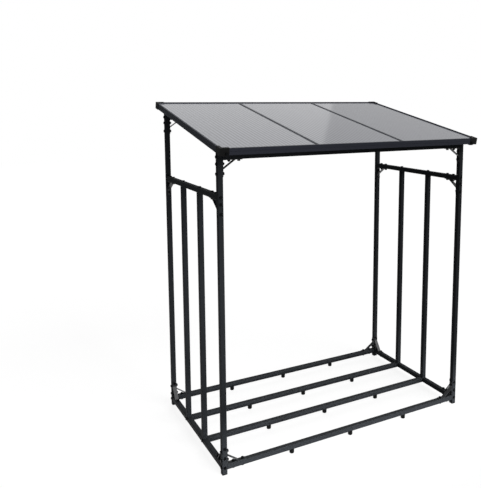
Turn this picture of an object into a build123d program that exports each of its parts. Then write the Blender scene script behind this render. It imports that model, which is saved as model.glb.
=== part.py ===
from build123d import *
from math import atan, cos, degrees, hypot, radians, sin, tan
import os

os.makedirs("parts", exist_ok=True)

# Square steel tube of the frame
tube_side = 25.0
tube_wall = 1.5
tube_corner = 2.5

# Frame, between tube centres, and its heights above the ground
frame_width = 1400.0
frame_depth = 755.0
floor_gap = 23.0
side_rail_height = 1298.0
upright_spacing = 242.0

# Roof: slope in degrees, height of its front top edge, overhang past the posts, space over the top beams
roof_slope = 11.5
roof_front_height = 1519.0
side_overhang = 17.5
end_overhang = 77.5
top_beam_gap = 10.5

# Twin-wall roof panels
panel_names = ("left", "middle", "right")
panel_thickness = 6.0
panel_skin = 0.8
rib_pitch = 20.0
panel_slack = 0.5

# Aluminium profiles that hold the panels, with a thick rim above the slot
profile_wall = 2.0
profile_lip = 8.0
rim_thickness = 4.0
slot_slack = 0.4
fascia_height = 31.0
fascia_groove = 0.8
joint_width = 12.0

# Plastic corner caps of the roof
cap_wall = 2.0
cap_length = 44.0
cap_lap = 4.0

# Corner braces: feet of the diagonal strap and bolts along the long and the short leg
brace_width = 20.0
brace_thickness = 2.5
long_strap_foot = 56.0
short_strap_foot = 40.0
long_bolt = 80.0
short_bolt = 62.0
brace_end = 14.0

# Bolts, screws and the inserts they reach
bolt_radius = 4.0
bolt_slack = 0.4
head_radius = 7.5
head_height = 5.3
nut_height = 6.5
hex_sides = 6
insert_length = 22.0
insert_bolt_reach = 18.0
spigot_length = 28.0

# Feet
post_pad = 5.0
plug_length = 18.0
foot_top_radius = 11.0
foot_bottom_radius = 10.0
foot_sides = 10
feet_per_rail = ("left", "middle", "right")

# Sizes that follow from those above
half_tube = tube_side / 2
tube_bore = tube_side - 2 * tube_wall
post_x = frame_width / 2
post_y = frame_depth / 2
inner_x = post_x - half_tube
inner_y = post_y - half_tube
floor_top = floor_gap + tube_side
floor_centre = floor_gap + half_tube
side_rail_under = side_rail_height - half_tube
upright_y = upright_spacing / 2
rail_length = 2 * inner_x
beam_length = 2 * inner_y
slope = radians(roof_slope)
roof_width = frame_width + tube_side + 2 * side_overhang
roof_depth = frame_depth + tube_side + 2 * end_overhang
roof_length = roof_depth / cos(slope)
roof_half = roof_width / 2
slot_height = panel_thickness + slot_slack
profile_height = rim_thickness + slot_height + profile_wall
joint_height = slot_height + 2 * profile_wall
rafter_drop = profile_height + tube_side
bolt_grip = tube_side + brace_thickness
long_leg = long_bolt + brace_end
short_leg = short_bolt + brace_end
hole_radius = bolt_radius + bolt_slack
cap_arm = cap_wall + profile_lip + cap_lap
cap_web = cap_wall + profile_wall

# Roof plane through the top of the profiles, local x across and y up the slope
roof_plane = Plane(
    origin=(0, -roof_depth / 2, roof_front_height), x_dir=(1, 0, 0), z_dir=(0, -sin(slope), cos(slope))
)
up_slope = roof_plane.y_dir
rafter_under = roof_plane.offset(-rafter_drop)

sides = (("left", -1), ("right", 1))
ends = (("front", -1), ("rear", 1))


def save(part, name):
    part.label = name
    export_step(part, f"parts/{name}.step")


def rafter_underside(y):
    """Height of the rafters' underside above the ground, at depth y."""
    return roof_front_height + (y + roof_depth / 2) * tan(slope) - rafter_drop / cos(slope)


# Corner braces: the plane and bolts of each brace, and the bolts that cross each tube
braces = {}
tube_bolts = {}


def place_brace(name, corner, long_way, short_way, long_tube, short_tube):
    """Places a brace with its legs along two tubes, and the bolts from their far faces."""
    across = Vector(*long_way).cross(Vector(*short_way))
    plane = Plane(origin=corner, x_dir=long_way, z_dir=across)
    long_start = plane.from_local_coords(Vector(long_bolt, -tube_side, 0))
    short_start = plane.from_local_coords(Vector(-tube_side, short_bolt, 0))
    across_long = Plane(origin=long_start, x_dir=plane.x_dir, z_dir=plane.y_dir)
    across_short = Plane(origin=short_start, x_dir=plane.y_dir, z_dir=plane.x_dir)
    tube_bolts.setdefault(long_tube, []).append(across_long)
    tube_bolts.setdefault(short_tube, []).append(across_short)
    braces[name] = (plane, (across_long, across_short))


for side, sx in sides:
    for end, sy in ends:
        post_name = f"post_{end}_{side}"
        corner = f"{end}_{side}"
        along_x = (-sx, 0, 0)
        along_y = (0, -sy, 0)
        up = (0, 0, 1)
        down = (0, 0, -1)
        top_under = rafter_underside(sy * post_y) - top_beam_gap - tube_side
        place_brace(
            f"brace_floor_rail_{corner}",
            (sx * inner_x, sy * post_y, floor_top),
            along_x, up, f"floor_rail_{end}", post_name,
        )
        place_brace(
            f"brace_floor_beam_{corner}",
            (sx * post_x, sy * inner_y, floor_top),
            up, along_y, post_name, f"floor_beam_{side}",
        )
        place_brace(
            f"brace_side_rail_{corner}",
            (sx * post_x, sy * inner_y, side_rail_under),
            along_y, down, f"side_rail_{side}", post_name,
        )
        place_brace(
            f"brace_top_beam_{corner}",
            (sx * inner_x, sy * post_y, top_under),
            along_x, down, f"top_beam_{end}", post_name,
        )

# Bolts into tube inserts: down through the side rails, and in through the floor beams
insert_bolts = []
inserts = []
for side, sx in sides:
    for end, sy in ends:
        rail_top = (sx * post_x, sy * upright_y, side_rail_under + tube_side)
        beam_side = (sx * (post_x + half_tube), sy * upright_y, floor_centre)
        upright_bolt = Plane(origin=rail_top, x_dir=(1, 0, 0), z_dir=(0, 0, -1))
        rail_bolt = Plane(origin=beam_side, x_dir=(0, 1, 0), z_dir=(-sx, 0, 0))
        tube_bolts[f"side_rail_{side}"].append(upright_bolt)
        tube_bolts[f"floor_beam_{side}"].append(rail_bolt)
        for bolt in (upright_bolt, rail_bolt):
            insert_bolts.append(bolt)
            inserts.append(bolt.offset(tube_side))

# Screws through the corner caps and fascias into the rafter ends
fascia_screws = {}
screw_depth = -profile_height - half_tube
for side, sx in sides:
    for end, sy in ends:
        reach = -cap_wall if sy < 0 else roof_length + cap_wall
        start = roof_plane.from_local_coords(Vector(sx * post_x, reach, screw_depth))
        screw = Plane(origin=start, x_dir=(1, 0, 0), z_dir=up_slope * -sy)
        fascia_screws[end, side] = screw
        inserts.append(screw.offset(cap_web))


def square_tube(plane, length, bolts=(), top=None):
    """A tube from the plane along its normal, with bolt holes and a sloped top if one is given."""
    with BuildPart() as tube:
        with BuildSketch(plane):
            RectangleRounded(tube_side, tube_side, tube_corner)
            Rectangle(tube_bore, tube_bore, mode=Mode.SUBTRACT)
        extrude(amount=length)
        if top:
            split(bisect_by=top, keep=Keep.BOTTOM)
        if bolts:
            with BuildSketch(*bolts):
                RegularPolygon(hole_radius, hex_sides)
            extrude(amount=tube_side, mode=Mode.SUBTRACT)
    return tube.part


# Posts, floor beams, side rails and uprights
for side, sx in sides:
    for end, sy in ends:
        name = f"post_{end}_{side}"
        foot = Plane(origin=(sx * post_x, sy * post_y, post_pad))
        tall = rafter_underside(sy * post_y) + tube_side - post_pad
        save(square_tube(foot, tall, tube_bolts[name], rafter_under), name)
        base = Plane(origin=(sx * post_x, sy * upright_y, floor_top))
        save(square_tube(base, side_rail_under - floor_top), f"upright_{end}_{side}")
    for name, height in ((f"floor_beam_{side}", floor_centre), (f"side_rail_{side}", side_rail_height)):
        start = Plane(origin=(sx * post_x, -inner_y, height), x_dir=(1, 0, 0), z_dir=(0, 1, 0))
        save(square_tube(start, beam_length, tube_bolts[name]), name)
    rafter_start = roof_plane.from_local_coords(Vector(sx * post_x, profile_wall, screw_depth))
    rafter_foot = Plane(origin=rafter_start, x_dir=(1, 0, 0), z_dir=up_slope)
    save(square_tube(rafter_foot, roof_length - 2 * profile_wall), f"rafter_{side}")

# Floor rails and top beams across the width
for end, sy in ends:
    top_centre = rafter_underside(sy * post_y) - top_beam_gap - half_tube
    across = (
        (f"floor_rail_{end}", sy * post_y, floor_centre),
        (f"floor_rail_middle_{end}", sy * upright_y, floor_centre),
        (f"top_beam_{end}", sy * post_y, top_centre),
    )
    for name, depth, height in across:
        start = Plane(origin=(-inner_x, depth, height), x_dir=(0, 1, 0), z_dir=(1, 0, 0))
        save(square_tube(start, rail_length, tube_bolts.get(name, ())), name)

# Brace outline: an angle with a diagonal strap from leg to leg
long_strap = long_strap_foot - brace_thickness
short_strap = short_strap_foot - brace_thickness
strap_height = long_strap * short_strap / hypot(long_strap, short_strap)
strap_scale = 1 + brace_thickness / strap_height
long_foot = (brace_thickness + long_strap * strap_scale, brace_thickness)
short_foot = (brace_thickness, brace_thickness + short_strap * strap_scale)
brace_outline = (
    (0, 0),
    (long_leg, 0),
    (long_leg, brace_thickness),
    long_foot,
    short_foot,
    (brace_thickness, short_leg),
    (0, short_leg),
)
brace_window = (
    (brace_thickness, brace_thickness),
    (brace_thickness + long_strap, brace_thickness),
    (brace_thickness, brace_thickness + short_strap),
)

for name, (plane, bolts) in braces.items():
    with BuildPart() as brace:
        with BuildSketch(plane):
            with BuildLine():
                Polyline(*brace_outline, close=True)
            make_face()
            with BuildLine():
                Polyline(*brace_window, close=True)
            make_face(mode=Mode.SUBTRACT)
        extrude(amount=brace_width / 2, both=True)
        with BuildSketch(*bolts):
            RegularPolygon(hole_radius, hex_sides)
        extrude(amount=bolt_grip, mode=Mode.SUBTRACT)
    save(brace.part, name)

# Bolts of the braces, each with a head on the tube and a nut on the brace
brace_bolts = [bolt for plane, bolts in braces.values() for bolt in bolts]
with BuildPart() as bolts_and_nuts:
    with BuildSketch(*brace_bolts):
        RegularPolygon(bolt_radius, hex_sides)
    extrude(amount=bolt_grip)
    with BuildSketch(*brace_bolts):
        RegularPolygon(head_radius, hex_sides)
    extrude(amount=-head_height)
    with BuildSketch(*(bolt.offset(bolt_grip) for bolt in brace_bolts)):
        RegularPolygon(head_radius, hex_sides)
    extrude(amount=nut_height)
save(bolts_and_nuts.part, "brace_bolts")

# Bolts that reach into the inserts, and the inserts
with BuildPart() as bolts_to_inserts:
    with BuildSketch(*insert_bolts):
        RegularPolygon(bolt_radius, hex_sides)
    extrude(amount=tube_side + insert_bolt_reach)
    with BuildSketch(*insert_bolts):
        RegularPolygon(head_radius, hex_sides)
    extrude(amount=-head_height)
save(bolts_to_inserts.part, "insert_bolts")

with BuildPart() as screws:
    with BuildSketch(*fascia_screws.values()):
        RegularPolygon(bolt_radius, hex_sides)
    extrude(amount=cap_web + insert_bolt_reach)
    with BuildSketch(*fascia_screws.values()):
        RegularPolygon(head_radius, hex_sides)
    extrude(amount=-head_height)
save(screws.part, "fascia_screws")

with BuildPart() as tube_inserts:
    with BuildSketch(*inserts):
        Rectangle(tube_bore, tube_bore)
        RegularPolygon(hole_radius, hex_sides, mode=Mode.SUBTRACT)
    extrude(amount=insert_length)
save(tube_inserts.part, "tube_inserts")

# Spigots that the uprights stand over, and those of the rafters in the post tops
with BuildPart() as upright_spigots:
    with BuildSketch(Plane.XY.offset(floor_top)):
        with GridLocations(frame_width, upright_spacing, 2, 2):
            Rectangle(tube_bore, tube_bore)
    extrude(amount=spigot_length)
save(upright_spigots.part, "upright_spigots")

with BuildPart() as rafter_spigots:
    for end, sy in ends:
        with BuildSketch(Plane.XY.offset(rafter_underside(sy * post_y) - spigot_length)):
            with Locations((-post_x, sy * post_y), (post_x, sy * post_y)):
                Rectangle(tube_bore, tube_bore)
        extrude(amount=spigot_length + tube_side)
    split(bisect_by=rafter_under, keep=Keep.BOTTOM)
save(rafter_spigots.part, "rafter_spigots")

# Feet: plugs in the post bottoms and tapered feet under the floor rails
with BuildPart() as post_feet:
    with BuildSketch(Plane.XY):
        with GridLocations(frame_width, frame_depth, 2, 2):
            RectangleRounded(tube_side, tube_side, tube_corner)
    extrude(amount=post_pad)
    with BuildSketch(Plane.XY.offset(post_pad)):
        with GridLocations(frame_width, frame_depth, 2, 2):
            Rectangle(tube_bore, tube_bore)
    extrude(amount=plug_length)
save(post_feet.part, "post_feet")

foot_spots = []
for depth in (-post_y, -upright_y, upright_y, post_y):
    for step in range(len(feet_per_rail)):
        foot_spots.append((rail_length * ((step + 1) / (len(feet_per_rail) + 1) - 1 / 2), depth))

foot_taper = degrees(atan((foot_top_radius - foot_bottom_radius) / floor_gap))
with BuildPart() as support_feet:
    with BuildSketch(Plane.XY.offset(floor_gap)):
        with Locations(*foot_spots):
            RegularPolygon(foot_top_radius, foot_sides)
    extrude(amount=-floor_gap, taper=foot_taper)
save(support_feet.part, "support_feet")

# Edge profile of the roof: web, top rim with its lip, and the shelf under the panels
groove_top = -profile_height - profile_wall
edge_outline = (
    (0, 0),
    (profile_lip, 0),
    (profile_lip, -rim_thickness),
    (profile_wall, -rim_thickness),
    (profile_wall, -rim_thickness - slot_height),
    (profile_lip, -rim_thickness - slot_height),
    (profile_lip, -profile_height),
    (profile_wall, -profile_height),
    (profile_wall, -fascia_height),
    (0, -fascia_height),
    (0, groove_top - profile_wall),
    (fascia_groove, groove_top - profile_wall),
    (fascia_groove, groove_top),
    (0, groove_top),
)

# Front and rear fascias, over the whole width
for end, sy in ends:
    reach = 0 if sy < 0 else roof_length
    start = roof_plane.from_local_coords(Vector(sy * roof_half, reach, 0))
    with BuildPart() as fascia:
        with BuildSketch(Plane(origin=start, x_dir=up_slope * -sy, z_dir=(-sy, 0, 0))):
            with BuildLine():
                Polyline(*edge_outline, close=True)
            make_face()
        extrude(amount=roof_width)
        with BuildSketch(*(fascia_screws[end, side] for side, sx in sides)):
            RegularPolygon(hole_radius, hex_sides)
        extrude(amount=cap_web, mode=Mode.SUBTRACT)
    save(fascia.part, f"fascia_{end}")

# Side profiles of the same section, between the fascias' lips
strip_length = roof_length - 2 * profile_lip
for side, sx in sides:
    reach = profile_lip if sx > 0 else roof_length - profile_lip
    start = roof_plane.from_local_coords(Vector(sx * roof_half, reach, 0))
    with BuildPart() as side_profile:
        with BuildSketch(Plane(origin=start, x_dir=(-sx, 0, 0), z_dir=up_slope * sx)):
            with BuildLine():
                Polyline(*edge_outline, close=True)
            make_face()
        extrude(amount=strip_length)
    save(side_profile.part, f"side_profile_{side}")

# Joint strips between the panels, with a slot to each side
panel_module = roof_width / len(panel_names)
slot_centre = -rim_thickness - slot_height / 2
for side, sx in sides:
    strip_end = Vector(sx * panel_module / 2, roof_length - profile_lip, slot_centre)
    start = roof_plane.from_local_coords(strip_end)
    with BuildPart() as joint:
        with BuildSketch(Plane(origin=start, x_dir=(1, 0, 0), z_dir=-up_slope)):
            Rectangle(joint_width, joint_height)
            with GridLocations(joint_width, 0, 2, 1):
                Rectangle(joint_width - profile_wall, slot_height, mode=Mode.SUBTRACT)
        extrude(amount=strip_length)
    save(joint.part, f"joint_strip_{side}")

# Twin-wall panels with ribs along the slope, lying on the lower side of the slots
panel_width = panel_module - 3 * profile_wall / 2 - 2 * panel_slack
panel_length = roof_length - 2 * (profile_wall + panel_slack)
panel_centre = -profile_height + profile_wall + panel_thickness / 2
flute_count = int((panel_width - panel_skin) // rib_pitch)
panel_spacing = panel_module - profile_wall / 4
for place, name in enumerate(panel_names):
    middle = (place - (len(panel_names) - 1) / 2) * panel_spacing
    panel_end = Vector(middle, profile_wall + panel_slack + panel_length, panel_centre)
    start = roof_plane.from_local_coords(panel_end)
    with BuildPart() as panel:
        with BuildSketch(Plane(origin=start, x_dir=(1, 0, 0), z_dir=-up_slope)):
            Rectangle(panel_width, panel_thickness)
            with GridLocations(rib_pitch, 0, flute_count, 1):
                Rectangle(rib_pitch - panel_skin, panel_thickness - 2 * panel_skin, mode=Mode.SUBTRACT)
        extrude(amount=panel_length)
    save(panel.part, f"roof_panel_{name}")

# Corner caps: a plate along the lips and walls over both faces of the corner
cap_outer = roof_half + cap_wall
for side, sx in sides:
    for end, sy in ends:
        edge = -cap_wall if sy < 0 else roof_length + cap_wall
        across = sx * (cap_outer - cap_length / 2)
        along = edge - sy * cap_length / 2
        bore_centre = (across - sx * cap_wall, along - sy * cap_wall)
        with BuildPart() as cap:
            with BuildSketch(roof_plane.offset(cap_wall)):
                with Locations((across, edge - sy * cap_arm / 2)):
                    Rectangle(cap_length, cap_arm)
                with Locations((sx * (cap_outer - cap_arm / 2), along)):
                    Rectangle(cap_arm, cap_length)
            extrude(amount=-cap_wall)
            with BuildSketch(roof_plane.offset(cap_wall)):
                with Locations((across, edge - sy * cap_web / 2)):
                    Rectangle(cap_length, cap_web)
                with Locations((sx * (cap_outer - cap_web / 2), along)):
                    Rectangle(cap_web, cap_length)
            extrude(amount=-(fascia_height + 2 * cap_wall))
            with BuildSketch(roof_plane):
                with Locations(bore_centre):
                    Rectangle(cap_length, cap_length)
            extrude(amount=-fascia_height, mode=Mode.SUBTRACT)
            with BuildSketch(fascia_screws[end, side]):
                RegularPolygon(hole_radius, hex_sides)
            extrude(amount=cap_wall, mode=Mode.SUBTRACT)
        save(cap.part, f"corner_cap_{end}_{side}")
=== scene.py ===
# %% [markdown]
# # Firewood log rack
# The frame, braces and roof come from the CAD nodes, which stay where they are. This lesson gives each of
# them a finish, adds the small hardware that is too fine for the solids, and sets up the floor, the light
# and the camera.

# %% Load the frame
from math import pi, radians

import bmesh
import bpy
from mathutils import Matrix, Vector


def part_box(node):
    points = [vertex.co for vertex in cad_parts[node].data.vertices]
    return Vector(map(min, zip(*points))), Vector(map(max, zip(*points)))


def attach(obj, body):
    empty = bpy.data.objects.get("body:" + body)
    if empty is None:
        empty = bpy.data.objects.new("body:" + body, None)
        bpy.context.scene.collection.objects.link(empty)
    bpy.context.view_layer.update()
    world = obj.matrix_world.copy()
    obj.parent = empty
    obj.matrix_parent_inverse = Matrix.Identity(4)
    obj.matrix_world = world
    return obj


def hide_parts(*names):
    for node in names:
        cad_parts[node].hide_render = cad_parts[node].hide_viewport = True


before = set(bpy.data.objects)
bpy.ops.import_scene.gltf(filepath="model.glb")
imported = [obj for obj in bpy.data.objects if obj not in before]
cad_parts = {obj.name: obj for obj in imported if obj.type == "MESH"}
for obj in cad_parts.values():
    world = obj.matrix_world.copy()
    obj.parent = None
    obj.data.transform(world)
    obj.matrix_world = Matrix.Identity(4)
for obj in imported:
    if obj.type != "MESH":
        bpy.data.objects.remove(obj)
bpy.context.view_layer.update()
MM = 0.001

# %% [markdown]
# ## Colours and nodes
# Colours are written as sRGB hex, the way a colour card gives them, and Blender works in linear light, so one
# function converts them. Nodes could be set by hand in the shader editor, but a finish that is written down
# can be read, repeated and corrected. So one function adds a node, fills its inputs and links it, and another
# starts a finish with the values that are the same all over it. The last one turns a real size into the Scale
# that a texture needs on Object coordinates, which are in metres.


# %% Colour and node helpers
def linear(hex_code):
    channels = [int(hex_code[i:i + 2], 16) / 255 for i in (1, 3, 5)]
    return [c / 12.92 if c <= 0.04045 else ((c + 0.055) / 1.055) ** 2.4 for c in channels] + [1.0]


def fill(node, values):
    for name, value in values.items():
        node.inputs[name].default_value = value


def connect(finish, node, links):
    for name, output in links.items():
        finish.node_tree.links.new(output, node.inputs[name])


def add(finish, kind, inputs=None, links=None, **settings):
    node = finish.node_tree.nodes.new(kind)
    for name, value in settings.items():
        setattr(node, name, value)
    fill(node, inputs or {})
    connect(finish, node, links or {})
    return node


def new_finish(name, values):
    finish = bpy.data.materials.new(name)
    finish.use_nodes = True
    shader = finish.node_tree.nodes["Principled BSDF"]
    fill(shader, values)
    return finish, shader


def per_metre(size_mm):
    return 1 / (size_mm * MM)


print("mid grey in linear light", linear("#808080")[0])

# %% [markdown]
# ## Powder-coated steel
# The tubes and braces are mild steel with an anthracite powder coat. The powder melts and flows in an oven,
# which leaves a fine orange peel and a low, even sheen. A picture of such a coat could be wrapped round each
# tube, but it would need unwrapping and would repeat, so noise is used. A fine one is the peel, drawn a
# little coarser than the real one so that it shows. A broad one keeps the grey and its sheen from being flat.
# Faces that look up are painted paler. This is painted top light, standing in for the light that falls on
# them from above. The tubes are nearly matt and the small braces shinier.

# %% Powder coat
PEEL_MM = 2.5
PEEL_DEPTH_MM = 0.15
CLOUD_MM = 180
# Painted top light: faces that tilt up past the first value are mixed towards the paler colour, up to the
# second share.
TOP_LIGHT_FROM = 0.5
TOP_LIGHT_SHARE = 0.35


def powder_coat(name, dark, light, painted_top_light, gloss, smooth, rough):
    finish, shader = new_finish(name, {"Specular IOR Level": gloss})
    place = add(finish, "ShaderNodeTexCoord").outputs["Object"]
    cloud = add(
        finish, "ShaderNodeTexNoise", {"Scale": per_metre(CLOUD_MM), "Detail": 5.0}, {"Vector": place}
    ).outputs["Fac"]
    tone = add(
        finish, "ShaderNodeMixRGB", {"Color1": linear(dark), "Color2": linear(light)}, {"Fac": cloud}
    ).outputs["Color"]
    # Painted top light: faces that look up are mixed towards a paler colour, which stands in for light from
    # above.
    facing = add(finish, "ShaderNodeNewGeometry").outputs["Normal"]
    upward = add(finish, "ShaderNodeSeparateXYZ", links={"Vector": facing}).outputs["Z"]
    painted_top_light_mask = add(
        finish, "ShaderNodeMapRange", {"From Min": TOP_LIGHT_FROM, "To Max": TOP_LIGHT_SHARE}, {"Value": upward}
    ).outputs["Result"]
    with_painted_top_light = add(
        finish, "ShaderNodeMixRGB", {"Color2": linear(painted_top_light)}, {"Fac": painted_top_light_mask, "Color1": tone}
    ).outputs["Color"]
    peel = add(
        finish, "ShaderNodeTexNoise", {"Scale": per_metre(PEEL_MM), "Detail": 2.0}, {"Vector": place}
    ).outputs["Fac"]
    bump = add(
        finish, "ShaderNodeBump", {"Strength": 0.25, "Distance": PEEL_DEPTH_MM * MM}, {"Height": peel}
    ).outputs["Normal"]
    sheen = add(
        finish, "ShaderNodeMapRange", {"To Min": smooth, "To Max": rough}, {"Value": cloud}
    ).outputs["Result"]
    connect(finish, shader, {"Base Color": with_painted_top_light, "Roughness": sheen, "Normal": bump})
    return finish


# The third colour of each coat is its painted top light, used on faces that look up.
tube_coat = powder_coat(
    "matt anthracite powder coat",
    dark="#1f2123", light="#2b2d30", painted_top_light="#3e4042", gloss=0.02, smooth=0.42, rough=0.55,
)
brace_coat = powder_coat(
    "gloss anthracite powder coat",
    dark="#17191b", light="#222427", painted_top_light="#2a2c2e", gloss=0.25, smooth=0.22, rough=0.35,
)
print("powder coats", tube_coat.name, brace_coat.name)

# %% [markdown]
# ## Coated aluminium extrusion
# The roof's edge profiles and joint strips are extruded aluminium with a dark grey coat. An extrusion carries
# faint die lines along its length. They could be modelled as grooves, but they are far finer than the
# profile, so they are a noise that is stretched along that way: across the width on the fascias, and along
# the slope on the side profiles and joint strips.

# %% Coated aluminium
DIE_LINE_MM = 1.5
DIE_LINE_DEPTH_MM = 0.05
DIE_LENGTH_MM = 400


def coated_extrusion(name, dark, light, along, gloss):
    finish, shader = new_finish(name, {"Specular IOR Level": gloss})
    place = add(finish, "ShaderNodeTexCoord").outputs["Object"]
    stretch = [per_metre(DIE_LENGTH_MM if axis == along else DIE_LINE_MM) for axis in "XYZ"]
    drawn = add(finish, "ShaderNodeMapping", {"Scale": stretch}, {"Vector": place}).outputs["Vector"]
    lines = add(
        finish, "ShaderNodeTexNoise", {"Scale": 1.0, "Detail": 3.0}, {"Vector": drawn}
    ).outputs["Fac"]
    tone = add(
        finish, "ShaderNodeMixRGB", {"Color1": linear(dark), "Color2": linear(light)}, {"Fac": lines}
    ).outputs["Color"]
    sheen = add(
        finish, "ShaderNodeMapRange", {"To Min": 0.32, "To Max": 0.46}, {"Value": lines}
    ).outputs["Result"]
    bump = add(
        finish, "ShaderNodeBump", {"Strength": 0.1, "Distance": DIE_LINE_DEPTH_MM * MM}, {"Height": lines}
    ).outputs["Normal"]
    connect(finish, shader, {"Base Color": tone, "Roughness": sheen, "Normal": bump})
    return finish


fascia_coat = coated_extrusion(
    "dark grey coated aluminium across", dark="#292b33", light="#363841", along="X", gloss=0.06
)
profile_coat = coated_extrusion(
    "dark grey coated aluminium up the slope", dark="#2e3138", light="#3b3e46", along="Y", gloss=0.06
)
joint_coat = coated_extrusion(
    "matt grey coated aluminium up the slope", dark="#4a4c51", light="#5c5e63", along="Y", gloss=0.03
)
print("extrusion coats", fascia_coat.name, profile_coat.name, joint_coat.name)

# %% [markdown]
# ## Twin-wall polycarbonate
# The roof sheets are smoke grey polycarbonate with two skins and ribs between them. The ribs show through as
# fine stripes up the slope, and the skin between them is a little hollow. A clear skin over the ribs could be
# rendered as it is, but the smoke grey hides nearly all of that depth, so a wave across the width gives the
# stripes their tone and the slight ripple. The skin is glossy, so at a low angle it shows the studio like a
# dull mirror.

# %% Twin-wall sheet
RIB_PITCH_MM = 20
RIPPLE_MM = 0.3
# At a Scale of 1, the bands of a wave texture repeat at this length.
WAVE_LENGTH = pi / 10


def twin_wall(name, rib, flute):
    finish, shader = new_finish(name, {"Roughness": 0.1, "IOR": 1.585, "Specular IOR Level": 0.35})
    place = add(finish, "ShaderNodeTexCoord").outputs["Object"]
    stripes = add(
        finish,
        "ShaderNodeTexWave",
        {"Scale": WAVE_LENGTH * per_metre(RIB_PITCH_MM)},
        {"Vector": place},
        wave_type="BANDS",
        bands_direction="X",
    ).outputs["Fac"]
    tone = add(
        finish, "ShaderNodeMixRGB", {"Color1": linear(rib), "Color2": linear(flute)}, {"Fac": stripes}
    ).outputs["Color"]
    ripple = add(
        finish, "ShaderNodeBump", {"Strength": 0.1, "Distance": RIPPLE_MM * MM}, {"Height": stripes}
    ).outputs["Normal"]
    connect(finish, shader, {"Base Color": tone, "Normal": ripple})
    return finish


roof_sheet = twin_wall("smoke grey twin-wall polycarbonate", rib="#707279", flute="#8b8d96")
print("roof sheet", roof_sheet.name)

# %% [markdown]
# ## Moulded plastic
# The roof caps and the feet are moulded black polypropylene. The mould is spark-eroded, which leaves a fine
# grain and takes the shine away. The grain is too fine to model, so a small noise gives it as a bump.

# %% Plastic
GRAIN_MM = 0.9
GRAIN_DEPTH_MM = 0.1


def moulded_plastic(name, dark, light):
    finish, shader = new_finish(name, {"Roughness": 0.55, "Specular IOR Level": 0.1})
    place = add(finish, "ShaderNodeTexCoord").outputs["Object"]
    grain = add(
        finish, "ShaderNodeTexNoise", {"Scale": per_metre(GRAIN_MM), "Detail": 2.0}, {"Vector": place}
    ).outputs["Fac"]
    tone = add(
        finish, "ShaderNodeMixRGB", {"Color1": linear(dark), "Color2": linear(light)}, {"Fac": grain}
    ).outputs["Color"]
    bump = add(
        finish, "ShaderNodeBump", {"Strength": 0.3, "Distance": GRAIN_DEPTH_MM * MM}, {"Height": grain}
    ).outputs["Normal"]
    connect(finish, shader, {"Base Color": tone, "Normal": bump})
    return finish


black_plastic = moulded_plastic("black moulded polypropylene", dark="#040404", light="#090a0a")
print("plastic", black_plastic.name)

# %% [markdown]
# ## Blackened bolts
# The bolts are steel with black zinc, a thin plated layer. It is a metal with a dull sheen that varies from
# place to place, so one noise of a few millimetres changes both its tone and its roughness.

# %% Bolts
SMUDGE_MM = 6


def black_zinc(name, dark, light):
    finish, shader = new_finish(name, {"Metallic": 0.8, "Specular IOR Level": 0.1})
    place = add(finish, "ShaderNodeTexCoord").outputs["Object"]
    smudge = add(
        finish, "ShaderNodeTexNoise", {"Scale": per_metre(SMUDGE_MM), "Detail": 3.0}, {"Vector": place}
    ).outputs["Fac"]
    tone = add(
        finish, "ShaderNodeMixRGB", {"Color1": linear(dark), "Color2": linear(light)}, {"Fac": smudge}
    ).outputs["Color"]
    sheen = add(
        finish, "ShaderNodeMapRange", {"To Min": 0.3, "To Max": 0.5}, {"Value": smudge}
    ).outputs["Result"]
    connect(finish, shader, {"Base Color": tone, "Roughness": sheen})
    return finish


bolt_zinc = black_zinc("black zinc", dark="#08090a", light="#131416")
print("bolts", bolt_zinc.name)

# %% [markdown]
# ## Finishes on the CAD nodes
# Each node could be given its finish one by one, but the names already say what a piece is, so a node takes
# its finish by the start of its name. The longer starts come first, so that the bolts of the braces aren't
# taken for braces, and all that is left is tube.

# %% Give each node its finish
FINISHES = (
    ("brace_bolts", bolt_zinc),
    ("insert_bolts", bolt_zinc),
    ("fascia_screws", bolt_zinc),
    ("fascia_", fascia_coat),
    ("side_profile", profile_coat),
    ("joint_strip", joint_coat),
    ("roof_panel", roof_sheet),
    ("corner_cap", black_plastic),
    ("post_feet", black_plastic),
    ("support_feet", black_plastic),
    ("tube_inserts", black_plastic),
    ("brace_", brace_coat),
    ("", tube_coat),
)

for node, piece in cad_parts.items():
    finish = next(finish for start, finish in FINISHES if node.startswith(start))
    if piece.material_slots:
        piece.material_slots[0].material = finish
    else:
        piece.data.materials.append(finish)
print("finished nodes", len(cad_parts))

# %% [markdown]
# ## A hexagon bolt head and a nut
# Every brace has a second bolt in each leg, close to its corner, and each beam end has a bolt through the
# post. A head could be a plain six-sided cylinder, but a real one has a slanted rim that catches the light,
# so the edges of the top face are bevelled. The nut has the bolt's end standing out of it, extruded from an
# inset in the top face. Each is modelled once and copied.

# %% Model the head
BOLT_SIDES = 6
HEAD_RADIUS = 7.5 * MM
HEAD_HEIGHT = 5.3 * MM
RIM = 1.0 * MM
SAME_LEVEL = 0.01 * MM
FACING_END = 0.9
UP = 1


def select_end(piece, way):
    bpy.ops.object.mode_set(mode="EDIT")
    bpy.ops.mesh.select_mode(type="FACE")
    bpy.ops.mesh.select_all(action="DESELECT")
    mesh = bmesh.from_edit_mesh(piece.data)
    furthest = max(face.calc_center_median().z * way for face in mesh.faces)
    for face in mesh.faces:
        at_end = face.calc_center_median().z * way > furthest - SAME_LEVEL
        face.select = at_end and face.normal.z * way > FACING_END
    bmesh.update_edit_mesh(piece.data)


def upright_cylinder(name, sides, radius, height):
    bpy.ops.object.select_all(action="DESELECT")
    bpy.ops.mesh.primitive_cylinder_add(
        vertices=sides, radius=radius, depth=height, location=(0, 0, height / 2)
    )
    bpy.ops.object.transform_apply(location=True, rotation=True, scale=True)
    piece = bpy.context.object
    piece.name = name
    return piece


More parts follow.
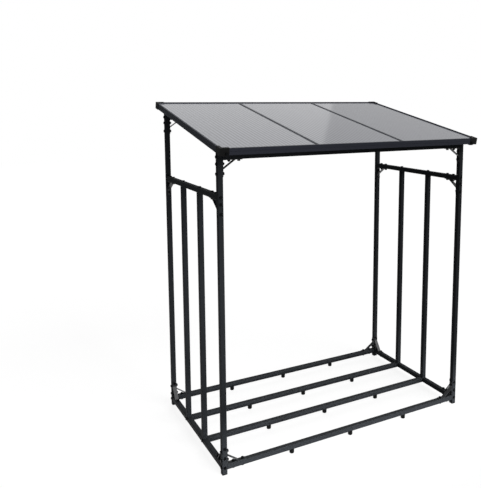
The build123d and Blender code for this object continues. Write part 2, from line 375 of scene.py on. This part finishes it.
def hexagon(name, height):
    piece = upright_cylinder(name, BOLT_SIDES, HEAD_RADIUS, height)
    select_end(piece, UP)
    bpy.ops.mesh.bevel(offset=RIM, segments=1, affect="EDGES")
    bpy.ops.object.mode_set(mode="OBJECT")
    return piece


head = hexagon("head_pattern", HEAD_HEIGHT)
print("head faces", len(head.data.polygons))

# %% Model the nut
NUT_HEIGHT = 6.5 * MM
SHANK_RADIUS = 4.0 * MM
SHANK_END = 2.5 * MM

nut = hexagon("nut_pattern", NUT_HEIGHT)
select_end(nut, UP)
bpy.ops.mesh.inset(thickness=HEAD_RADIUS - RIM - SHANK_RADIUS)
bpy.ops.mesh.extrude_region_move(TRANSFORM_OT_translate={"value": (0, 0, SHANK_END)})
bpy.ops.object.mode_set(mode="OBJECT")
print("nut faces", len(nut.data.polygons))

# %% [markdown]
# ## Copies, and pieces made of them
# A copy gets its own mesh, and its place and turn go into that mesh, so that the object stays at the origin.
# Each bolt could stay a piece of its own, but the bolts of one brace belong together, so they are joined. The
# piece then gets its finish and rides on the rack's one body.

# %% Copy, join and dress
UPWARD = Vector((0, 0, 1))
DOWNWARD = Vector((0, 0, -1))


def copy_to(pattern, spot, way):
    turn = UPWARD.rotation_difference(way).to_matrix().to_4x4()
    mesh = pattern.data.copy()
    mesh.transform(Matrix.Translation(spot) @ turn)
    piece = bpy.data.objects.new(pattern.name, mesh)
    bpy.context.collection.objects.link(piece)
    return piece


def join(pieces, name):
    bpy.ops.object.select_all(action="DESELECT")
    for piece in pieces:
        piece.select_set(True)
    bpy.context.view_layer.objects.active = pieces[0]
    bpy.ops.object.join()
    whole = bpy.context.object
    whole.name = name
    whole.data.name = name
    return whole


def dress(piece, finish):
    piece.data.materials.clear()
    piece.data.materials.append(finish)
    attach(piece, "root")


post_low, post_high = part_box("post_front_left")
TUBE = post_high.x - post_low.x
print("tube", round(TUBE / MM, 2), "mm")

# %% [markdown]
# ## Second bolts of the braces
# The bolts could be placed by measured points, but a brace node's box already gives the corner where its legs
# meet, so the bolts follow the brace. The head sits on the far face of the tube and the nut on the brace, as
# for the bolts that the CAD model already has.

# %% Bolts of one brace
BRACE_THICKNESS = 2.5 * MM
LONG_SPOT = 33 * MM
SHORT_SPOT = 18.5 * MM


def brace_corner(node, inward):
    low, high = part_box(node)
    corner = (low + high) / 2
    for axis, way in enumerate(inward):
        if way != 0:
            corner[axis] = low[axis] if way > 0 else high[axis]
    return corner


def brace_second_bolts(node, long_way, short_way):
    corner = brace_corner(node, long_way + short_way)
    parts = []
    for along, across, spot in ((long_way, short_way, LONG_SPOT), (short_way, long_way, SHORT_SPOT)):
        seat = corner + along * spot
        parts.append(copy_to(head, seat - across * TUBE, -across))
        parts.append(copy_to(nut, seat + across * BRACE_THICKNESS, across))
    return join(parts, f"second_bolts_{node}")


print("second bolts", round(LONG_SPOT / MM, 1), "and", round(SHORT_SPOT / MM, 1), "mm from the corner")

# %% Bolts of all braces
BRACE_LEGS = {
    "brace_floor_rail": ("X", "up"),
    "brace_floor_beam": ("up", "Y"),
    "brace_side_rail": ("Y", "down"),
    "brace_top_beam": ("X", "down"),
}

second_bolts = []
for kind, legs in BRACE_LEGS.items():
    for end, toward_y in (("front", 1), ("rear", -1)):
        for side, toward_x in (("left", 1), ("right", -1)):
            ways = {
                "X": Vector((toward_x, 0, 0)),
                "Y": Vector((0, toward_y, 0)),
                "up": UPWARD,
                "down": DOWNWARD,
            }
            long_way, short_way = (ways[leg] for leg in legs)
            second_bolts.append(brace_second_bolts(f"{kind}_{end}_{side}", long_way, short_way))
for piece in second_bolts:
    dress(piece, bolt_zinc)
print("braces with second bolts", len(second_bolts))

# %% [markdown]
# ## Bolts through the posts into the beam ends
# One bolt goes through each post on the centre line of every beam that meets it. The whole bolt could be
# made, but only its head shows, on the post's outer face, so the same head is copied there.

# %% Copy the heads to the posts
end_heads = []
for end, toward_y in (("front", -1), ("rear", 1)):
    for side, toward_x in (("left", -1), ("right", 1)):
        low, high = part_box(f"post_{end}_{side}")
        middle = (low + high) / 2
        for beam, way in (
            (f"floor_rail_{end}", Vector((toward_x, 0, 0))),
            (f"top_beam_{end}", Vector((toward_x, 0, 0))),
            (f"floor_beam_{side}", Vector((0, toward_y, 0))),
            (f"side_rail_{side}", Vector((0, toward_y, 0))),
        ):
            beam_low, beam_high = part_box(beam)
            level = (beam_low.z + beam_high.z) / 2
            spot = Vector((middle.x, middle.y, level)) + way * TUBE / 2
            end_heads.append(copy_to(head, spot, way))
beam_end_bolts = join(end_heads, "beam_end_bolts")
dress(beam_end_bolts, bolt_zinc)
bpy.data.objects.remove(head)
bpy.data.objects.remove(nut)
print("beam end bolts", len(beam_end_bolts.data.polygons), "faces")

# %% [markdown]
# ## Support feet
# The small feet under the floor rails are round plugs of moulded plastic, nearly as wide as the rail, with a
# soft rim and a shallow recess underneath that keeps them from rocking. A foot could be spun from its
# outline, but a cylinder is quicker to shape: its bottom face is drawn in a little, the rim is bevelled
# round, and an inset is pushed up for the recess. Copies stand under the quarter points of each rail, in
# place of the plain feet of the CAD model.

# %% Model one foot
FOOT_SIDES = 24
FOOT_RADIUS = 12.3 * MM
FOOT_TAPER = 0.94
FOOT_ROUND = 4 * MM
FOOT_ROUND_STEPS = 4
FOOT_RING = 2.5 * MM
FOOT_RECESS = 1.2 * MM
SMOOTH_UNDER = radians(35)
DOWN = -1

foot_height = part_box("floor_rail_front")[0].z
foot = upright_cylinder("foot_pattern", FOOT_SIDES, FOOT_RADIUS, foot_height)
select_end(foot, DOWN)
bpy.ops.transform.resize(value=(FOOT_TAPER, FOOT_TAPER, 1), center_override=(0, 0, 0))
bpy.ops.mesh.bevel(offset=FOOT_ROUND, segments=FOOT_ROUND_STEPS, affect="EDGES")
select_end(foot, DOWN)
bpy.ops.mesh.inset(thickness=FOOT_RING)
bpy.ops.transform.translate(value=(0, 0, FOOT_RECESS))
bpy.ops.object.mode_set(mode="OBJECT")
bpy.ops.object.shade_smooth_by_angle(angle=SMOOTH_UNDER)
print("foot height", round(foot_height / MM, 2), "mm, faces", len(foot.data.polygons))

# %% Copy the foot along the rails
FEET_PER_RAIL = 3

feet = []
for rail in ("front", "middle_front", "middle_rear", "rear"):
    low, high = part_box(f"floor_rail_{rail}")
    for number in range(1, FEET_PER_RAIL + 1):
        along = low.x + (high.x - low.x) * number / (FEET_PER_RAIL + 1)
        spot = Vector((along, (low.y + high.y) / 2, 0))
        feet.append(copy_to(foot, spot, UPWARD))
moulded_feet = join(feet, "moulded_support_feet")
dress(moulded_feet, black_plastic)
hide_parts("support_feet")
bpy.data.objects.remove(foot)
print("support feet", len(feet), "faces", len(moulded_feet.data.polygons))

# %% [markdown]
# ## Floor
# The rack stands on plain paper that runs out of the picture. Strong lamps could bleach the paper white, but
# they would bleach the rack too. So the paper adds a glow that only the camera and reflections see, and keeps
# its own shading under that glow, so the rack has a soft shadow. One function finds the rays that see the
# studio directly, and both the paper and the world use it.

# %% Floor
FLOOR_SIDE = 30
PAPER_WHITE = 0.87


def direct_rays(finish):
    rays = add(finish, "ShaderNodeLightPath").outputs
    seen = add(
        finish,
        "ShaderNodeMath",
        links={0: rays["Is Camera Ray"], 1: rays["Is Glossy Ray"]},
        operation="MAXIMUM",
    ).outputs[0]
    return add(
        finish, "ShaderNodeMath", links={0: seen, 1: rays["Is Transmission Ray"]}, operation="MAXIMUM"
    ).outputs[0]


bpy.ops.object.select_all(action="DESELECT")
bpy.ops.mesh.primitive_plane_add(size=FLOOR_SIDE)
floor = bpy.context.object
floor.name = "floor"
bpy.ops.object.mode_set(mode="EDIT")
bpy.ops.mesh.subdivide(number_cuts=2)
bpy.ops.object.mode_set(mode="OBJECT")

paper, matt = new_finish(
    "white studio paper", {"Base Color": linear("#7b7b7b"), "Roughness": 0.9, "Specular IOR Level": 0.0}
)
shown = add(paper, "ShaderNodeMath", {1: PAPER_WHITE}, {0: direct_rays(paper)}, operation="MULTIPLY")
glow = add(paper, "ShaderNodeEmission", {"Color": linear("#ffffff")}, {"Strength": shown.outputs[0]})
lit = add(paper, "ShaderNodeAddShader", links={0: matt.outputs[0], 1: glow.outputs[0]})
connect(paper, paper.node_tree.nodes["Material Output"], {"Surface": lit.outputs[0]})
floor.data.materials.append(paper)
print("floor", FLOOR_SIDE, "m")

# %% [markdown]
# ## World
# The world is the white room round the rack. A picture of a real studio could light it, but an even white is
# enough here: it is white to the camera and in reflections, and gives only a little light to the rest.

# %% World
WORLD_LIGHT = 0.2

world = bpy.data.worlds.new("white studio")
bpy.context.scene.world = world
world.use_nodes = True
strength = add(
    world, "ShaderNodeMapRange", {"To Min": WORLD_LIGHT, "To Max": 1.0}, {"Value": direct_rays(world)}
)
sky = world.node_tree.nodes["Background"]
fill(sky, {"Color": linear("#ffffff")})
connect(world, sky, {"Strength": strength.outputs["Result"]})
print("world light", WORLD_LIGHT)

# %% [markdown]
# ## Light
# The light comes from the front right, so front faces are lit and left faces fall dark. It is a very wide and
# far source, like a whole wall of diffusers, which gives soft shadows and lights the floor evenly to its
# edge, as a lamp close by could not. A second one fills in from behind. A softbox with a narrow beam lifts
# the posts on the left, and a strip light close to the floor lifts the floor rails, the front one most. Only
# the key shows in reflections.

# %% Key and back light
RACK_MIDDLE = (0, 0, 0.8)


def lamp(name, kind, energy, spot, aim):
    light = bpy.data.lights.new(name, kind)
    light.energy = energy
    piece = bpy.data.objects.new(name, light)
    piece.location = spot
    piece.rotation_euler = (Vector(spot) - Vector(aim)).to_track_quat("Z", "Y").to_euler()
    piece.visible_camera = False
    bpy.context.collection.objects.link(piece)
    return piece


key = lamp("key light", "SUN", energy=1.8, spot=(2.0, -3.75, 3.45), aim=RACK_MIDDLE)
key.data.angle = radians(40)
back = lamp("back light", "SUN", energy=1.5, spot=(1.75, 4.0, 3.0), aim=RACK_MIDDLE)
back.data.angle = radians(60)
back.visible_glossy = False
print("lights", key.name, back.name)

# %% Softbox and strip
softbox = lamp("left softbox", "AREA", energy=2.2, spot=(-0.2, -2.6, 0.9), aim=(-0.7, 0, 0.75))
softbox.data.shape = "DISK"
softbox.data.size = 0.6
softbox.data.spread = radians(40)
softbox.visible_glossy = False
strip = lamp("floor strip", "AREA", energy=3.3, spot=(0.1, -1.1, 0.12), aim=(0.1, -0.4, 0.04))
strip.data.shape = "RECTANGLE"
strip.data.size = 1.8
strip.data.size_y = 0.1
strip.data.spread = radians(40)
strip.visible_glossy = False
print("lights", softbox.name, strip.name)

# %% [markdown]
# ## Cards for the reflections
# A white room would wash out dark, glossy pieces. The room could be made darker, but then the picture would
# be grey, so cards stand behind the rack, as in a studio, and show only in reflections. Two low dark cards,
# one behind and one further left, keep the tops and the left faces of the tubes dark. A pale one, high up
# behind on the right, ends in an upright edge, which the glossy roof shows as a slanting line.

# %% Cards
STANDING = (pi / 2, 0, 0)


def card(name, low, high, glow):
    bpy.ops.object.select_all(action="DESELECT")
    bpy.ops.mesh.primitive_plane_add(size=1, location=(low + high) / 2, rotation=STANDING)
    piece = bpy.context.object
    piece.name = name
    piece.scale = (high.x - low.x, high.z - low.z, 1)
    bpy.ops.object.transform_apply(location=True, rotation=True, scale=True)
    bpy.ops.object.mode_set(mode="EDIT")
    bpy.ops.mesh.subdivide(number_cuts=3)
    bpy.ops.object.mode_set(mode="OBJECT")
    finish, _ = new_finish(
        f"{name} paper",
        {
            "Base Color": linear("#0a0a0a"),
            "Specular IOR Level": 0.0,
            "Emission Color": linear("#ffffff"),
            "Emission Strength": glow,
        },
    )
    piece.data.materials.append(finish)
    piece.visible_camera = False
    piece.visible_diffuse = False
    piece.visible_shadow = False
    return piece


low_card = card("low_black_card", low=Vector((-0.5, 3.0, 0.02)), high=Vector((5.0, 3.0, 2.4)), glow=0.06)
left_card = card("left_black_card", low=Vector((-6.0, 3.0, 0.02)), high=Vector((-0.5, 3.0, 2.4)), glow=0.2)
pale_card = card("pale_card", low=Vector((3.16, 4.5, 2.2)), high=Vector((9.0, 4.5, 6.0)), glow=0.7)
print("cards", low_card.name, left_card.name, pale_card.name)

# %% [markdown]
# ## Camera
# The picture looks at the front left corner from about head height. Tilting the camera further down could
# frame it too, but the posts would lean together, so a lens shift does part of it, as with a view camera.
# The shift is kept moderate, because views from other sides keep it and would lose the roof.

# %% Camera
LONG_SIDE_PX = 488
FOCAL_PX = 613.42
YAW = 28.93
PITCH = 7.025
EYE = (-1.681, -2.871, 1.721)

lens = bpy.data.cameras.new("camera")
lens.sensor_width = 36
lens.lens = FOCAL_PX / LONG_SIDE_PX * lens.sensor_width
lens.shift_x = -0.12
lens.shift_y = -0.14
camera = bpy.data.objects.new("camera", lens)
camera.location = EYE
camera.rotation_euler = (radians(90 - PITCH), 0, radians(-YAW))
bpy.context.collection.objects.link(camera)
bpy.context.scene.camera = camera
bpy.context.scene.view_settings.view_transform = "Standard"
print("lens", round(lens.lens, 2), "mm")
